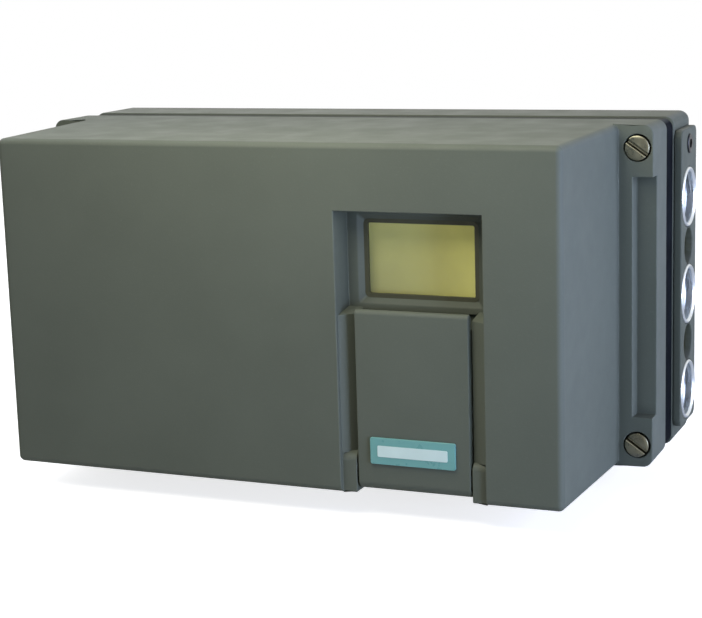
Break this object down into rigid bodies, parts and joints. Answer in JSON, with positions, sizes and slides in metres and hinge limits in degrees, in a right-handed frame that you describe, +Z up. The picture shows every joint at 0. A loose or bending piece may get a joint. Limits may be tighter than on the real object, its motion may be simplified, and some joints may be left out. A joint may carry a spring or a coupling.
{
  "type": "valve positioner",
  "caption": "Electropneumatic valve positioner: moulded housing with display window and key flap, air ports on one side, cable gland on the other, rear feedback shaft.",
  "frame": {"origin": "on the feedback shaft's axis, in the plane of the mounting face", "axes": "+X to the right seen from the front, +Y out of the mounting face, +Z up"},
  "size_m": [0.1894, 0.0966, 0.084],
  "materials": {
    "cover_plastic": "fine moulded grain, grey-green",
    "base_plastic": "fine moulded grain, darker grey-green",
    "black_rubber": "matt black seal rubber",
    "screw_steel": "bright zinc-plated steel",
    "dark_steel": "blackened spring steel",
    "passivated_steel": "passivated steel, dulled",
    "clear_pane": "clear polycarbonate pane",
    "display_olive": "unlit olive display glass",
    "dark_plastic": "dark moulded plastic",
    "board_green": "green solder mask",
    "terminal_green": "green terminal plastic",
    "key_plastic": "dark key caps",
    "plate_teal": "bare teal plate",
    "brass": "turned brass",
    "port_metal": "bright turned metal",
    "manifold_metal": "machined aluminium",
    "cap_plastic": "natural acetal plastic",
    "wheel_plastic": "yellow plastic",
    "shaft_steel": "ground stainless steel",
    "gland_plastic": "dark grey polyamide"
  },
  "bodies": {
    "housing": {"cover": "cover_plastic", "base_housing": "base_plastic", "port_land": "base_plastic", "cover_seal": "black_rubber", "shaft_seal": "black_rubber", "gland_seal": "black_rubber", "entry_seals": "black_rubber", "cover_screws": "passivated_steel", "display_screws": "screw_steel", "board_screws": "screw_steel", "terminal_screws": "screw_steel", "manifold_screws": "screw_steel", "bracket_screws": "screw_steel", "pot_bracket": "screw_steel", "flap_pin": "dark_steel", "window_pane": "clear_pane", "display_glass": "display_olive", "display_frame": "dark_plastic", "key_switches": "dark_plastic", "board_parts": "dark_plastic", "valve_unit": "dark_plastic", "potentiometer": "dark_plastic", "display_board": "board_green", "main_board": "board_green", "terminal_block": "terminal_green", "display_spacers": "brass", "shaft_bush": "brass", "silencer": "brass", "port_bushes": "port_metal", "air_manifold": "manifold_metal", "valve_caps": "cap_plastic", "gland_body": "gland_plastic", "gland_nut": "gland_plastic", "blanking_plug": "gland_plastic"},
    "flap": {"key_flap": "cover_plastic", "flap_plate": "plate_teal"},
    "key_mode": {"key_mode": "key_plastic"},
    "key_down": {"key_down": "key_plastic"},
    "key_up": {"key_up": "key_plastic"},
    "feedback": {"feedback_shaft": "shaft_steel", "shaft_clip": "dark_steel", "drive_gear": "cap_plastic", "clutch_washer": "screw_steel", "clutch_wheel": "wheel_plastic"},
    "pot_rotor": {"pot_shaft": "shaft_steel", "pot_pinion": "cap_plastic"},
    "restrictor_upper": {"restrictor_upper": "brass"},
    "restrictor_lower": {"restrictor_lower": "brass"}
  },
  "joints": [
    {"name": "flap_hinge", "type": "hinge", "parent": "housing", "child": "flap", "pos_m": [0.036, -0.0806, -0.0384], "axis": [1, 0, 0], "range_deg": [0, 100]},
    {"name": "key_mode_press", "type": "slide", "parent": "housing", "child": "key_mode", "axis": [0, 1, 0], "range_m": [0, 0.0012], "stiffness_N_per_m": 1500, "springref_m": -0.0005},
    {"name": "key_down_press", "type": "slide", "parent": "housing", "child": "key_down", "axis": [0, 1, 0], "range_m": [0, 0.0012], "stiffness_N_per_m": 1500, "springref_m": -0.0005},
    {"name": "key_up_press", "type": "slide", "parent": "housing", "child": "key_up", "axis": [0, 1, 0], "range_m": [0, 0.0012], "stiffness_N_per_m": 1500, "springref_m": -0.0005},
    {"name": "shaft_turn", "type": "hinge", "parent": "housing", "child": "feedback", "pos_m": [0, 0, 0], "axis": [0, 1, 0], "range_deg": [-50, 50]},
    {"name": "pot_turn", "type": "hinge", "parent": "housing", "child": "pot_rotor", "pos_m": [-0.03205, 0, 0], "axis": [0, 1, 0], "range_deg": [-170, 170]},
    {"name": "restrictor_upper_turn", "type": "hinge", "parent": "housing", "child": "restrictor_upper", "pos_m": [0.075, -0.0108, 0.0085], "axis": [1, 0, 0], "range_deg": [0, 720]},
    {"name": "restrictor_lower_turn", "type": "hinge", "parent": "housing", "child": "restrictor_lower", "pos_m": [0.075, -0.0108, -0.0165], "axis": [1, 0, 0], "range_deg": [0, 720]}
  ],
  "couplings": [
    {"joint": "pot_turn", "follows": "shaft_turn", "ratio": -3}
  ]
}
